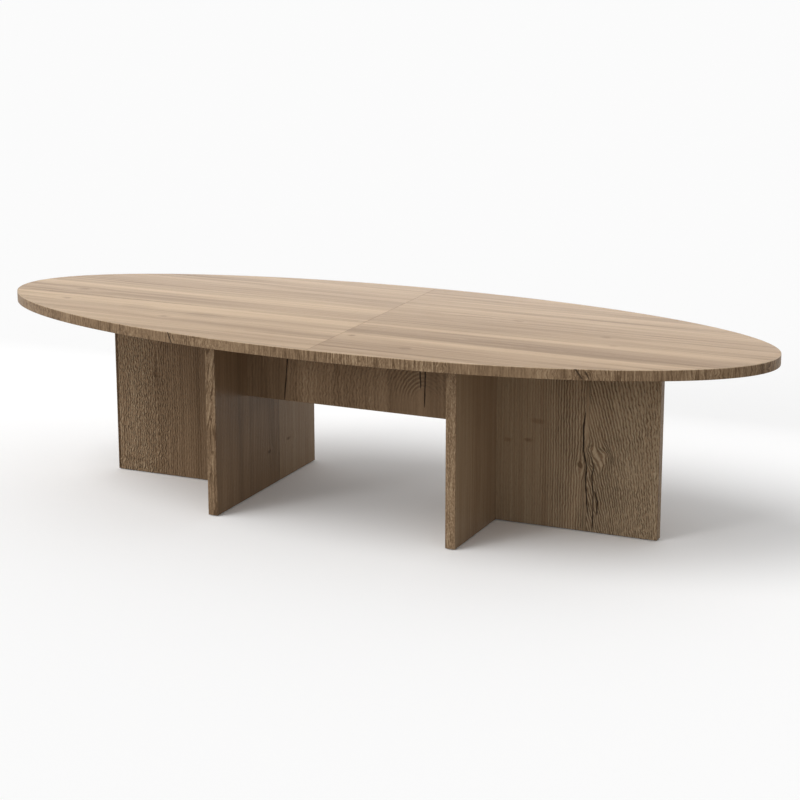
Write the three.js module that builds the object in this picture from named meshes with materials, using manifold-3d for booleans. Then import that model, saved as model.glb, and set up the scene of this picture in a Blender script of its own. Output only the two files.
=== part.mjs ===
// Oval conference table: a top in two halves on two T-shaped panel bases, tied by a pair of rails.
// Millimetres, +Z up, +X along the table. The origin is on the floor below the middle of the top.
import * as THREE from 'three';
import { mergeVertices } from 'three/addons/utils/BufferGeometryUtils.js';
import Module from 'manifold-3d';

// Overall size
const TABLE_LENGTH = 3200;
const TABLE_WIDTH = 1200;
const TABLE_HEIGHT = 750;
const BOARD = 40;

// Layout of the bases and rails
const CROSS_CENTRE_X = 500;
const CROSS_WIDTH = 850;
const FIN_REACH = 1170;
const RAIL_FACE_Y = 157;
const RAIL_HEIGHT = 290;

// Glue lines, edge bands and the joint between the halves
const GAP = 0.3;
const BAND = 2;
const BAND_ROUND = 1.2;
const SEAM_ROUND = 0.5;
const SEAM_HALF_GAP = 0.2;

// Levelling feet, screwed into threaded inserts
const FOOT_HEIGHT = 4;
const FOOT_PAD_RADIUS = 16;
const FOOT_PAD_CHAMFER = 1.2;
const FOOT_STUD_RADIUS = 4;
const FOOT_STUD_LENGTH = 24;
const FOOT_FROM_CROSS_END = 50;
const FOOT_FROM_FIN_END = 60;
const INSERT_RADIUS = 6;
const INSERT_LENGTH = 26;
const INSERT_FLANGE_RADIUS = 8;
const INSERT_FLANGE = 1.5;

// Draw bolts that pull the two halves together, in keyhole pockets routed from below
const DRAW_BOLT_Y = 330;
const DRAW_BOLT_RADIUS = 3;
const DRAW_BOLT_TAIL = 4;
const POCKET_FROM_SEAM = 75;
const POCKET_RADIUS = 15;
const POCKET_DEPTH = 30;
const CHANNEL_WIDTH = 9;
const HEX_SIDES = 6;
const HEX_RADIUS = 5.8;
const HEX_HEAD = 4;
const HEX_NUT = 5;
const HALF_MOON_LOW = 12;
const HALF_MOON_HEIGHT = 16;
const HALF_MOON_SLOT_RADIUS = 3.6;

// Wooden dowels that keep the halves level
const SEAM_DOWEL_Y = 470;
const SEAM_DOWEL_RADIUS = 5;
const SEAM_DOWEL_LENGTH = 60;
const SEAM_DOWEL_CHAMFER = 1;

// Steel angle brackets
const BRACKET_LEG = 45;
const BRACKET_WIDTH = 40;
const BRACKET_THICKNESS = 3;
const BRACKET_BEND = 1.5;
const BRACKET_HOLE_RADIUS = 2.6;
const BRACKET_HOLE_REACH = 28;
const BRACKET_HOLE_SPREAD = 10;
const CROSS_BRACKET_Y = 250;
const FIN_BRACKET_FROM_CROSS = 350;
const RAIL_BRACKET_Z = 565;

// Cam fittings that draw each fin against its cross panel
const CAM_RADIUS = 7.5;
const CAM_DEPTH = 26;
const CAM_FROM_FACE = 24;
const CAM_ENTRY_RADIUS = 4;
const CAM_ENTRY_PAST_CENTRE = 2;
const CAM_SLOT_LENGTH = 9;
const CAM_SLOT_WIDTH = 1.8;
const CAM_SLOT_DEPTH = 3;
const CAM_HEIGHTS = { lower: 150, upper: 560 };
const CAM_BOLT_THREAD = 11;
const CAM_BOLT_THREAD_RADIUS = 2.5;
const CAM_BOLT_COLLAR_RADIUS = 3.4;
const CAM_BOLT_SHANK_RADIUS = 2.7;
const CAM_BOLT_NECK_RADIUS = 1.8;
const CAM_BOLT_HEAD_RADIUS = 3.2;
const CAM_BOLT_COLLAR_END = 2;
const CAM_BOLT_NECK = 3;
const CAM_BOLT_HEAD = 3;
const CAM_BOLT_HEAD_TAPER = 0.6;

// Smoothness of round work
const RIM_STEPS = 72;
const BAND_ROUND_STEPS = 2;
const ROUND_SIDES = 18;
const SMALL_SIDES = 12;
const BEND_STEPS = 4;

// Sizes that follow from the ones above
const HALF_LENGTH = TABLE_LENGTH / 2;
const HALF_WIDTH = TABLE_WIDTH / 2;
const HALF_BOARD = BOARD / 2;
const TOP_UNDERSIDE = TABLE_HEIGHT - BOARD;
const BAND_SEAT = BAND + GAP;
const PANEL_HEIGHT = TOP_UNDERSIDE - FOOT_HEIGHT - GAP;
const CROSS_INNER_X = CROSS_CENTRE_X - HALF_BOARD;
const RAIL_INNER_Y = RAIL_FACE_Y - BOARD;
const FIN_END = FIN_REACH - CROSS_CENTRE_X;
const CAM_X = HALF_BOARD + CAM_FROM_FACE;
const PAST = 1;

const SIDES = [{ name: 'left', sign: -1 }, { name: 'right', sign: 1 }];
const ENDS = [{ name: 'front', sign: -1 }, { name: 'back', sign: 1 }];

const wasm = await Module();
wasm.setup();

// Finishes
const topDecor = new THREE.MeshStandardMaterial({ color: 0xb79c7a, roughness: 0.45, metalness: 0 });
const panelDecor = new THREE.MeshStandardMaterial({ color: 0x7a644c, roughness: 0.55, metalness: 0 });
const edgeDecor = new THREE.MeshStandardMaterial({ color: 0x8f7757, roughness: 0.5, metalness: 0 });
const zincSteel = new THREE.MeshStandardMaterial({ color: 0xb9bcc0, roughness: 0.35, metalness: 0.9 });
const castZinc = new THREE.MeshStandardMaterial({ color: 0xa3a4a6, roughness: 0.5, metalness: 0.8 });
const blackPlastic = new THREE.MeshStandardMaterial({ color: 0x1d1d1f, roughness: 0.6, metalness: 0 });
const beech = new THREE.MeshStandardMaterial({ color: 0xd2ae80, roughness: 0.7, metalness: 0 });

// Solid modelling helpers
function toSolid(geometry) {
  const bare = geometry.clone();
  bare.deleteAttribute('normal');
  bare.deleteAttribute('uv');
  const merged = mergeVertices(bare);
  const vertProperties = new Float32Array(merged.attributes.position.array);
  const triVerts = new Uint32Array(merged.index.array);
  return new wasm.Manifold(new wasm.Mesh({ numProp: 3, vertProperties, triVerts }));
}

function toGeometry(solid) {
  const { vertProperties, triVerts } = solid.getMesh();
  const geometry = new THREE.BufferGeometry();
  geometry.setAttribute('position', new THREE.BufferAttribute(vertProperties, 3));
  geometry.setIndex(new THREE.BufferAttribute(triVerts, 1));
  geometry.computeVertexNormals();
  return geometry;
}

function cut(blank, tools) {
  let solid = toSolid(blank);
  for (const tool of tools) {
    solid = solid.subtract(toSolid(tool));
  }
  return toGeometry(solid);
}

function join(first, second) {
  return toGeometry(toSolid(first).add(toSolid(second)));
}

// A straight bar between two points, for pins, hexagons and drilled holes.
function bar(radius, from, to, sides = ROUND_SIDES) {
  const start = new THREE.Vector3(...from);
  const run = new THREE.Vector3(...to).sub(start);
  const geometry = new THREE.CylinderGeometry(radius, radius, run.length(), sides);
  const upright = new THREE.Vector3(0, 1, 0);
  const turn = new THREE.Quaternion().setFromUnitVectors(upright, run.clone().normalize());
  const middle = start.addScaledVector(run, 0.5);
  geometry.applyQuaternion(turn);
  geometry.translate(middle.x, middle.y, middle.z);
  return geometry;
}

// A block between two opposite corners.
function block(from, to) {
  const low = new THREE.Vector3(...from);
  const high = new THREE.Vector3(...to);
  const span = high.clone().sub(low);
  const middle = low.add(high).multiplyScalar(0.5);
  return new THREE.BoxGeometry(Math.abs(span.x), Math.abs(span.y), Math.abs(span.z))
    .translate(middle.x, middle.y, middle.z);
}

// A flat outline drawn up by a height.
function drawUp(outline, height) {
  const options = { depth: height, bevelEnabled: false, curveSegments: ROUND_SIDES };
  return new THREE.ExtrudeGeometry(outline, options);
}

// A turned piece: [radius, height] points spun about +Z.
function turned(profile, sides) {
  const points = profile.map(([radius, height]) => new THREE.Vector2(radius, height));
  return new THREE.LatheGeometry(points, sides).rotateX(Math.PI / 2);
}

// Closed sections placed one after another, skinned into one solid with flat ends.
function skinned(sections) {
  const count = sections[0].length;
  const last = (sections.length - 1) * count;
  const positions = sections.flat(2);
  const indices = [];
  for (let start = 0; start < last; start += count) {
    for (let k = 0; k < count; k += 1) {
      const next = (k + 1) % count;
      indices.push(start + k, start + count + next, start + next);
      indices.push(start + k, start + count + k, start + count + next);
    }
  }
  for (let k = 1; k < count - 1; k += 1) {
    indices.push(0, k, k + 1);
    indices.push(last, last + k + 1, last + k);
  }
  const geometry = new THREE.BufferGeometry();
  geometry.setAttribute('position', new THREE.Float32BufferAttribute(positions, 3));
  geometry.setIndex(indices);
  geometry.computeVertexNormals();
  return geometry;
}

function piece(group, name, geometry, material, position = [0, 0, 0], turn = 0) {
  const mesh = new THREE.Mesh(geometry, material);
  mesh.name = name;
  mesh.position.set(...position);
  mesh.rotation.z = turn;
  group.add(mesh);
}

// Edge bands: [outward, across] points of a strip with its two outer edges rounded over.
function bandSection(round = BAND_ROUND) {
  const points = [[-BAND, 0]];
  const corners = [[round, -Math.PI / 2], [BOARD - round, 0]];
  for (const [across, from] of corners) {
    for (let step = 0; step <= BAND_ROUND_STEPS; step += 1) {
      const angle = from + (step / BAND_ROUND_STEPS) * (Math.PI / 2);
      points.push([round * (Math.cos(angle) - 1), across + round * Math.sin(angle)]);
    }
  }
  points.push([-BAND, BOARD]);
  return points;
}

// A straight band: its outer face towards +X, its width along +Y, its length along +Z.
function straightBand(length, round) {
  const outline = new THREE.Shape(bandSection(round).map(([x, y]) => new THREE.Vector2(x, y)));
  return drawUp(outline, length);
}

// The top's oval: a point at an angle, moved inwards square to the edge.
function ovalPoint(angle, inset) {
  const outward = new THREE.Vector2(HALF_WIDTH * Math.cos(angle), HALF_LENGTH * Math.sin(angle));
  const point = new THREE.Vector2(HALF_LENGTH * Math.cos(angle), HALF_WIDTH * Math.sin(angle));
  return point.addScaledVector(outward.normalize(), -inset);
}

function rimAngle(step) {
  return (step / RIM_STEPS - 0.5) * Math.PI;
}

function topBoard(sign) {
  const seamFace = SEAM_HALF_GAP + BAND_SEAT;
  const outline = new THREE.Shape();
  for (let step = 0; step <= RIM_STEPS; step += 1) {
    const { x, y } = ovalPoint(rimAngle(step), BAND_SEAT);
    const point = [sign * Math.max(x, seamFace), y];
    if (step === 0) {
      outline.moveTo(...point);
    } else {
      outline.lineTo(...point);
    }
  }
  return drawUp(outline, BOARD);
}

function rimBand(sign) {
  const section = bandSection();
  const sections = [];
  for (let step = 0; step <= RIM_STEPS; step += 1) {
    sections.push(section.map(([outward, across]) => {
      const { x, y } = ovalPoint(rimAngle(step), -outward);
      return [sign * Math.max(x, SEAM_HALF_GAP), y, across];
    }));
  }
  if (sign < 0) {
    sections.reverse();
  }
  return skinned(sections);
}

function seamBand(sign) {
  const length = TABLE_WIDTH - 2 * BAND_SEAT;
  const band = straightBand(length, SEAM_ROUND).rotateX(Math.PI / 2).translate(0, length / 2, 0);
  if (sign > 0) {
    band.rotateZ(Math.PI);
  }
  return band.translate(sign * SEAM_HALF_GAP, 0, 0);
}

// What is routed and drilled into one half along the seam, in the top's own frame.
function seamCutters(sign) {
  const pocketX = sign * POCKET_FROM_SEAM;
  const cutters = [];
  for (const end of ENDS) {
    const boltY = end.sign * DRAW_BOLT_Y;
    const dowelY = end.sign * SEAM_DOWEL_Y;
    const halfChannel = CHANNEL_WIDTH / 2;
    const channelFrom = [0, boltY - halfChannel, -PAST];
    const channelTo = [pocketX, boltY + halfChannel, HALF_BOARD + halfChannel];
    const dowelReach = sign * (SEAM_DOWEL_LENGTH / 2 + PAST);
    cutters.push(bar(POCKET_RADIUS, [pocketX, boltY, -PAST], [pocketX, boltY, POCKET_DEPTH]));
    cutters.push(block(channelFrom, channelTo));
    cutters.push(bar(SEAM_DOWEL_RADIUS + GAP, [0, dowelY, HALF_BOARD], [dowelReach, dowelY, HALF_BOARD]));
  }
  return cutters;
}

// A half-moon washer: its round side bears on the pocket wall nearest the seam, at -X,
// and it drops over the bolt by a slot open at the bottom.
function halfMoon() {
  const outline = new THREE.Shape();
  outline.absarc(0, 0, POCKET_RADIUS - GAP, Math.PI / 2, 1.5 * Math.PI, false);
  outline.closePath();
  const blank = drawUp(outline, HALF_MOON_HEIGHT).translate(0, 0, HALF_MOON_LOW);
  const slotFrom = [-POCKET_RADIUS, -HALF_MOON_SLOT_RADIUS, HALF_MOON_LOW - PAST];
  const slotTo = [PAST, HALF_MOON_SLOT_RADIUS, HALF_BOARD];
  const slotCrown = bar(
    HALF_MOON_SLOT_RADIUS,
    [-POCKET_RADIUS, 0, HALF_BOARD],
    [PAST, 0, HALF_BOARD],
  );
  return cut(blank, [block(slotFrom, slotTo), slotCrown]);
}

// The draw bolt lies along X, its hexagon head in the left pocket and its nut in the right one.
function drawBolt() {
  const seat = POCKET_FROM_SEAM + GAP;
  const tip = seat + HEX_NUT + DRAW_BOLT_TAIL;
  const headEnd = -seat - HEX_HEAD;
  const head = bar(HEX_RADIUS, [headEnd, 0, HALF_BOARD], [-seat, 0, HALF_BOARD], HEX_SIDES);
  const shank = bar(DRAW_BOLT_RADIUS, [-seat - PAST, 0, HALF_BOARD], [tip, 0, HALF_BOARD], SMALL_SIDES);
  return join(head, shank);
}

function drawNut() {
  const seat = POCKET_FROM_SEAM + GAP;
  const nutEnd = seat + HEX_NUT;
  const blank = bar(HEX_RADIUS, [seat, 0, HALF_BOARD], [nutEnd, 0, HALF_BOARD], HEX_SIDES);
  const boreFrom = [seat - PAST, 0, HALF_BOARD];
  const boreTo = [nutEnd + PAST, 0, HALF_BOARD];
  return cut(blank, [bar(DRAW_BOLT_RADIUS + GAP, boreFrom, boreTo, SMALL_SIDES)]);
}

function seamDowel() {
  const half = SEAM_DOWEL_LENGTH / 2;
  const profile = [
    [0, -half],
    [SEAM_DOWEL_RADIUS - SEAM_DOWEL_CHAMFER, -half],
    [SEAM_DOWEL_RADIUS, -half + SEAM_DOWEL_CHAMFER],
    [SEAM_DOWEL_RADIUS, half - SEAM_DOWEL_CHAMFER],
    [SEAM_DOWEL_RADIUS - SEAM_DOWEL_CHAMFER, half],
    [0, half],
  ];
  return turned(profile, SMALL_SIDES).rotateY(Math.PI / 2);
}

function buildTop() {
  const top = new THREE.Group();
  top.position.z = TOP_UNDERSIDE;
  for (const side of SIDES) {
    const cutters = seamCutters(side.sign);
    const name = `top_${side.name}`;
    piece(top, `${name}_board`, cut(topBoard(side.sign), cutters), topDecor);
    piece(top, `${name}_rim_band`, rimBand(side.sign), edgeDecor);
    piece(top, `${name}_seam_band`, cut(seamBand(side.sign), cutters), edgeDecor);
  }
  const moon = halfMoon();
  for (const end of ENDS) {
    const boltY = end.sign * DRAW_BOLT_Y;
    piece(top, `${end.name}_draw_bolt`, drawBolt(), zincSteel, [0, boltY, 0]);
    piece(top, `${end.name}_draw_nut`, drawNut(), zincSteel, [0, boltY, 0]);
    for (const side of SIDES) {
      const place = [side.sign * POCKET_FROM_SEAM, boltY, 0];
      const turn = side.sign > 0 ? 0 : Math.PI;
      piece(top, `${end.name}_${side.name}_half_moon`, moon, zincSteel, place, turn);
    }
    piece(top, `${end.name}_seam_dowel`, seamDowel(), beech, [0, end.sign * SEAM_DOWEL_Y, HALF_BOARD]);
  }
  return top;
}

// An angle bracket with its corner at the origin: one leg along +X below z = 0, one down -Z.
function angleBracket() {
  const outerBend = BRACKET_BEND + BRACKET_THICKNESS;
  const outline = new THREE.Shape();
  outline.moveTo(outerBend, 0);
  outline.lineTo(BRACKET_LEG, 0);
  outline.lineTo(BRACKET_LEG, -BRACKET_THICKNESS);
  outline.absarc(outerBend, -outerBend, BRACKET_BEND, Math.PI / 2, Math.PI, false);
  outline.lineTo(BRACKET_THICKNESS, -BRACKET_LEG);
  outline.lineTo(0, -BRACKET_LEG);
  outline.absarc(outerBend, -outerBend, outerBend, Math.PI, Math.PI / 2, true);
  const options = { depth: BRACKET_WIDTH, bevelEnabled: false, curveSegments: BEND_STEPS };
  const blank = new THREE.ExtrudeGeometry(outline, options)
    .rotateX(Math.PI / 2)
    .translate(0, BRACKET_WIDTH / 2, 0);
  const through = BRACKET_THICKNESS + PAST;
  const reach = BRACKET_HOLE_REACH;
  const holes = [];
  for (const y of [-BRACKET_HOLE_SPREAD, BRACKET_HOLE_SPREAD]) {
    holes.push(bar(BRACKET_HOLE_RADIUS, [reach, y, -through], [reach, y, PAST], SMALL_SIDES));
    holes.push(bar(BRACKET_HOLE_RADIUS, [-PAST, y, -reach], [through, y, -reach], SMALL_SIDES));
  }
  return cut(blank, holes);
}

// The stepped hole in a panel's underside that takes a threaded insert.
function insertSeat(x, y) {
  const flangeTop = INSERT_FLANGE + GAP;
  return [
    bar(INSERT_RADIUS + GAP, [x, y, -PAST], [x, y, INSERT_LENGTH + GAP]),
    bar(INSERT_FLANGE_RADIUS + GAP, [x, y, -PAST], [x, y, flangeTop]),
  ];
}

function threadedInsert() {
  const bore = FOOT_STUD_RADIUS + GAP;
  return turned([
    [bore, 0],
    [INSERT_FLANGE_RADIUS, 0],
    [INSERT_FLANGE_RADIUS, INSERT_FLANGE],
    [INSERT_RADIUS, INSERT_FLANGE],
    [INSERT_RADIUS, INSERT_LENGTH],
    [bore, INSERT_LENGTH],
    [bore, 0],
  ], ROUND_SIDES);
}

// A levelling foot standing on z = 0: a low round pad moulded on a threaded stud.
function levellingFoot() {
  const padTop = FOOT_HEIGHT - GAP;
  const studTop = padTop + FOOT_STUD_LENGTH;
  return turned([
    [0, 0],
    [FOOT_PAD_RADIUS - FOOT_PAD_CHAMFER, 0],
    [FOOT_PAD_RADIUS, FOOT_PAD_CHAMFER],
    [FOOT_PAD_RADIUS - FOOT_PAD_CHAMFER / 2, padTop],
    [FOOT_STUD_RADIUS, padTop],
    [FOOT_STUD_RADIUS, studTop - FOOT_PAD_CHAMFER],
    [FOOT_STUD_RADIUS - FOOT_PAD_CHAMFER, studTop],
    [0, studTop],
  ], ROUND_SIDES);
}

// A cam along Y, its slotted face at +Y and the mouth for the bolt's head at -X.
function cam() {
  const blank = bar(CAM_RADIUS, [0, HALF_BOARD - CAM_DEPTH, 0], [0, HALF_BOARD, 0]);
  const mouthFrom = [-CAM_RADIUS - PAST, 0, 0];
  const mouth = bar(CAM_ENTRY_RADIUS, mouthFrom, [CAM_ENTRY_PAST_CENTRE, 0, 0], SMALL_SIDES);
  const slotFloor = HALF_BOARD - CAM_SLOT_DEPTH;
  const slotTop = HALF_BOARD + PAST;
  const long = CAM_SLOT_LENGTH / 2;
  const narrow = CAM_SLOT_WIDTH / 2;
  const slots = [
    block([-long, slotFloor, -narrow], [long, slotTop, narrow]),
    block([-narrow, slotFloor, -long], [narrow, slotTop, long]),
  ];
  return cut(blank, [mouth, ...slots]);
}

// A cam bolt along +X: its thread in the cross panel at x < 0, its head at the cam's centre.
function camBolt() {
  const headFrom = CAM_FROM_FACE - CAM_BOLT_HEAD;
  const headEdge = headFrom + CAM_BOLT_HEAD_TAPER;
  const neckFrom = headFrom - CAM_BOLT_NECK;
  return turned([
    [0, -CAM_BOLT_THREAD],
    [CAM_BOLT_NECK_RADIUS, -CAM_BOLT_THREAD],
    [CAM_BOLT_THREAD_RADIUS, -CAM_BOLT_THREAD + PAST],
    [CAM_BOLT_THREAD_RADIUS, GAP],
    [CAM_BOLT_COLLAR_RADIUS, GAP],
    [CAM_BOLT_COLLAR_RADIUS, CAM_BOLT_COLLAR_END],
    [CAM_BOLT_SHANK_RADIUS, CAM_BOLT_COLLAR_END],
    [CAM_BOLT_SHANK_RADIUS, neckFrom],
    [CAM_BOLT_NECK_RADIUS, neckFrom],
    [CAM_BOLT_NECK_RADIUS, headFrom],
    [CAM_BOLT_HEAD_RADIUS, headEdge],
    [CAM_BOLT_HEAD_RADIUS, CAM_FROM_FACE],
    [0, CAM_FROM_FACE],
  ], SMALL_SIDES).rotateY(Math.PI / 2);
}

// A T-shaped base, in a frame at the foot of its cross panel, its fin pointing outwards.
function buildBase(side, bracket) {
  const { name, sign } = side;
  const base = new THREE.Group();
  base.position.set(sign * CROSS_CENTRE_X, 0, FOOT_HEIGHT);

  const footPlaces = [
    ['front', 0, -(CROSS_WIDTH / 2 - FOOT_FROM_CROSS_END)],
    ['back', 0, CROSS_WIDTH / 2 - FOOT_FROM_CROSS_END],
    ['fin', sign * (FIN_END - FOOT_FROM_FIN_END), 0],
  ];
  const heights = Object.values(CAM_HEIGHTS);
  const threadReach = HALF_BOARD - CAM_BOLT_THREAD - GAP;
  const camInner = HALF_BOARD - CAM_DEPTH - GAP;
  const boltHoles = heights.map((z) => bar(
    CAM_BOLT_THREAD_RADIUS + GAP,
    [sign * (HALF_BOARD + PAST), 0, z],
    [sign * threadReach, 0, z],
    SMALL_SIDES,
  ));
  const shankHoles = heights.map((z) => bar(
    CAM_ENTRY_RADIUS,
    [sign * HALF_BOARD, 0, z],
    [sign * CAM_X, 0, z],
    SMALL_SIDES,
  ));
  const camPockets = heights.map((z) => bar(
    CAM_RADIUS + GAP,
    [sign * CAM_X, HALF_BOARD + PAST, z],
    [sign * CAM_X, camInner, z],
  ));
  const seats = footPlaces.flatMap(([, x, y]) => insertSeat(x, y));

  const halfCross = CROSS_WIDTH / 2 - BAND_SEAT;
  const crossBlank = block([-HALF_BOARD, -halfCross, 0], [HALF_BOARD, halfCross, PANEL_HEIGHT]);
  const finFrom = sign * (HALF_BOARD + GAP);
  const finTo = sign * (FIN_END - BAND_SEAT);
  const finBlank = block([finFrom, -HALF_BOARD, 0], [finTo, HALF_BOARD, PANEL_HEIGHT]);
  const band = straightBand(PANEL_HEIGHT);
  const quarter = Math.PI / 2;
  const finTurn = sign > 0 ? 0 : Math.PI;
  piece(base, `${name}_cross_panel`, cut(crossBlank, [...seats, ...boltHoles]), panelDecor);
  piece(base, `${name}_cross_front_band`, band, edgeDecor, [-HALF_BOARD, -CROSS_WIDTH / 2, 0], -quarter);
  piece(base, `${name}_cross_back_band`, band, edgeDecor, [HALF_BOARD, CROSS_WIDTH / 2, 0], quarter);
  piece(base, `${name}_fin_panel`, cut(finBlank, [...seats, ...shankHoles, ...camPockets]), panelDecor);
  piece(base, `${name}_fin_end_band`, band, edgeDecor, [sign * FIN_END, -sign * HALF_BOARD, 0], finTurn);

  for (const [place, x, y] of footPlaces) {
    piece(base, `${name}_${place}_insert`, threadedInsert(), zincSteel, [x, y, 0]);
    piece(base, `${name}_${place}_foot`, levellingFoot(), blackPlastic, [x, y, -FOOT_HEIGHT]);
  }
  for (const [level, z] of Object.entries(CAM_HEIGHTS)) {
    const camGeometry = cam();
    const boltGeometry = camBolt();
    if (sign < 0) {
      camGeometry.rotateY(Math.PI);
      boltGeometry.rotateY(Math.PI);
    }
    piece(base, `${name}_fin_${level}_cam`, camGeometry, castZinc, [sign * CAM_X, 0, z]);
    piece(base, `${name}_fin_${level}_cam_bolt`, boltGeometry, zincSteel, [sign * HALF_BOARD, 0, z]);
  }

  const bracketZ = PANEL_HEIGHT;
  const innerFace = -sign * (HALF_BOARD + GAP);
  const inwards = sign > 0 ? Math.PI : 0;
  for (const end of ENDS) {
    const place = [innerFace, end.sign * CROSS_BRACKET_Y, bracketZ];
    piece(base, `${name}_${end.name}_top_bracket`, bracket, zincSteel, place, inwards);
  }
  const finPlace = [sign * FIN_BRACKET_FROM_CROSS, HALF_BOARD + GAP, bracketZ];
  piece(base, `${name}_fin_top_bracket`, bracket, zincSteel, finPlace, quarter);
  return base;
}

// The rails run between the cross panels, with a bracket in each inside corner.
function buildRails(bracket) {
  const rails = new THREE.Group();
  const bottom = TOP_UNDERSIDE - RAIL_HEIGHT;
  const halfLength = CROSS_INNER_X - GAP;
  const bandGeometry = straightBand(2 * halfLength).rotateY(Math.PI / 2);
  const flatBracket = bracket.clone().rotateX(Math.PI / 2);
  const quarter = Math.PI / 2;
  const cornerTurns = { front_left: 0, front_right: quarter, back_right: Math.PI, back_left: -quarter };
  for (const end of ENDS) {
    const lowY = end.sign > 0 ? RAIL_INNER_Y : -RAIL_FACE_Y;
    const from = [-halfLength, lowY, bottom + BAND_SEAT];
    const to = [halfLength, lowY + BOARD, TOP_UNDERSIDE - GAP];
    piece(rails, `${end.name}_rail`, block(from, to), panelDecor);
    piece(rails, `${end.name}_rail_bottom_band`, bandGeometry, edgeDecor, [-halfLength, lowY, bottom]);
    for (const side of SIDES) {
      const corner = `${end.name}_${side.name}`;
      const place = [side.sign * halfLength, end.sign * (RAIL_INNER_Y - GAP), RAIL_BRACKET_Z];
      piece(rails, `${corner}_rail_bracket`, flatBracket, zincSteel, place, cornerTurns[corner]);
    }
  }
  return rails;
}

const table = new THREE.Group();
const bracketGeometry = angleBracket();
table.add(buildTop());
for (const side of SIDES) {
  table.add(buildBase(side, bracketGeometry));
}
table.add(buildRails(bracketGeometry));

export default table;
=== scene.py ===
import math
from collections.abc import Sequence
from dataclasses import dataclass

import bmesh
import bpy
from mathutils import Matrix, Vector


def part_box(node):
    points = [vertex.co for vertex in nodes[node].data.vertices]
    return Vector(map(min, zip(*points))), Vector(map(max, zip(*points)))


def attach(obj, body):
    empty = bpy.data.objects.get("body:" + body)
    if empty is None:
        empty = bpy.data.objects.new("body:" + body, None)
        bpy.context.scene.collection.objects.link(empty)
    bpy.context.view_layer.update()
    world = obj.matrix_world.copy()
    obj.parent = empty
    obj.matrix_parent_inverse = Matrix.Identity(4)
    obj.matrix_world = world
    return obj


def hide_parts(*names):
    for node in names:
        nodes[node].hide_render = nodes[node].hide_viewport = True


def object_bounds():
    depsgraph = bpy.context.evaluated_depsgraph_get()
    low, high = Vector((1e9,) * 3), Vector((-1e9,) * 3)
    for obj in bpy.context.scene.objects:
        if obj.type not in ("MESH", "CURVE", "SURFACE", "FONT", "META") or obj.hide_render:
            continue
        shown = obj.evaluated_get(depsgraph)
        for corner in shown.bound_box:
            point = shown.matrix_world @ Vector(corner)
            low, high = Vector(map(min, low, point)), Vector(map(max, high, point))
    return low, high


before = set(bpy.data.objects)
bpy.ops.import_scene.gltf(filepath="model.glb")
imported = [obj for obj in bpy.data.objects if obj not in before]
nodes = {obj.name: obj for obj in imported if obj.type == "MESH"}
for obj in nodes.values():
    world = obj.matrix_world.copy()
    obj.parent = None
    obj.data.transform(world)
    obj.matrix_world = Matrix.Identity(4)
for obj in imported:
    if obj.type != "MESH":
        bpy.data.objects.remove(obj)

cad_low, cad_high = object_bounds()
scene = bpy.context.scene
MM = 0.001
TURN = 2 * math.pi
TINY = MM * MM
ORIGIN = (0.0, 0.0, 0.0)

# Driving dimensions, read from the parts of model.glb
HALF_LENGTH = cad_high.x
HALF_WIDTH = cad_high.y
TABLE_HEIGHT = cad_high.z
BOARD = TABLE_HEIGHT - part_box("top_right_board")[0].z
UNDERSIDE = TABLE_HEIGHT - BOARD
SEAM_HALF_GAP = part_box("top_right_rim_band")[0].x
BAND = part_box("right_fin_end_band")[1].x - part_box("right_fin_end_band")[0].x
BAND_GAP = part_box("right_fin_end_band")[0].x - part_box("right_fin_panel")[1].x
FIN_BACK_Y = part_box("right_fin_panel")[1].y
SIDES = {"left": -1, "right": 1}
FEET = [f"{side}_{place}_foot" for side in SIDES for place in ("front", "back", "fin")]

# What glue leaves between a band and its board, and between the two halves of the top
GLUE_LINE = 0.02 * MM
GLUE_REACH = BAND_GAP - GLUE_LINE

# Rounding and fineness of the rim. Its flat face starts a little past the rounding
BAND_ROUND = 1.2 * MM
BAND_FLAT_START = 1.2 * BAND_ROUND
ROUND_STEPS = 5
RIM_STEPS = 180

# Angles below which faces are shaded smooth
ROUND_SMOOTHING = math.radians(35)
TURNED_SMOOTHING = math.radians(40)
THREAD_SMOOTHING = math.radians(20)

# Levelling feet. A pad's rim is given as (distance inwards, height) in millimetres
PAD_HEIGHT = 3.7 * MM
PAD_RIM = ((5.0, 0.6), (4.4, 0.0), (1.0, 0.0), (0.0, 0.9), (0.0, 2.0), (0.8, 2.9))
PAD_SHOULDER = 4.0 * MM
PAD_HUB_HEIGHT = 0.4 * MM
PAD_HUB_FOOT = 2.5 * MM
PAD_HUB_TOP = 2.0 * MM
PAD_SCALLOPS = 24
PAD_SCALLOP_DEPTH = 0.6 * MM
PAD_SCALLOP_START = 0.85
PAD_SCALLOP_SIDES = 6
STUD_RADIUS = 4.0 * MM
STUD_SINK = 0.5 * MM
THREAD_DEPTH = 0.6 * MM
THREAD_PITCH = 1.25 * MM
THREAD_SIDES = 24

# Screws in the brackets, and the caps over the cams
BRACKET_THICKNESS = 3.0 * MM
BRACKET_HOLE_REACH = 28.0 * MM
BRACKET_HOLE_SPREAD = 10.0 * MM
SCREW_HEAD_RADIUS = 4.2 * MM
SCREW_HEAD_HEIGHT = 2.2 * MM
SCREW_SHANK_RADIUS = 2.0 * MM
SCREW_TIP_RADIUS = 0.3 * MM
SCREW_LENGTH = 16.0 * MM
SCREW_TAPER = 4.0 * MM
SCREW_SIDES = 24
CROSS_RECESS_LENGTH = 4.4 * MM
CROSS_RECESS_WIDTH = 0.9 * MM
CROSS_RECESS_DEPTH = 1.5 * MM
CAP_RADIUS = 9.5 * MM
CAP_HEIGHT = 1.3 * MM
CAP_UNDERCUT = 0.4 * MM
CAP_LIP = 0.3 * MM
CAP_SHOULDER = 0.6 * MM
CAP_SIDES = 48

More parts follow.
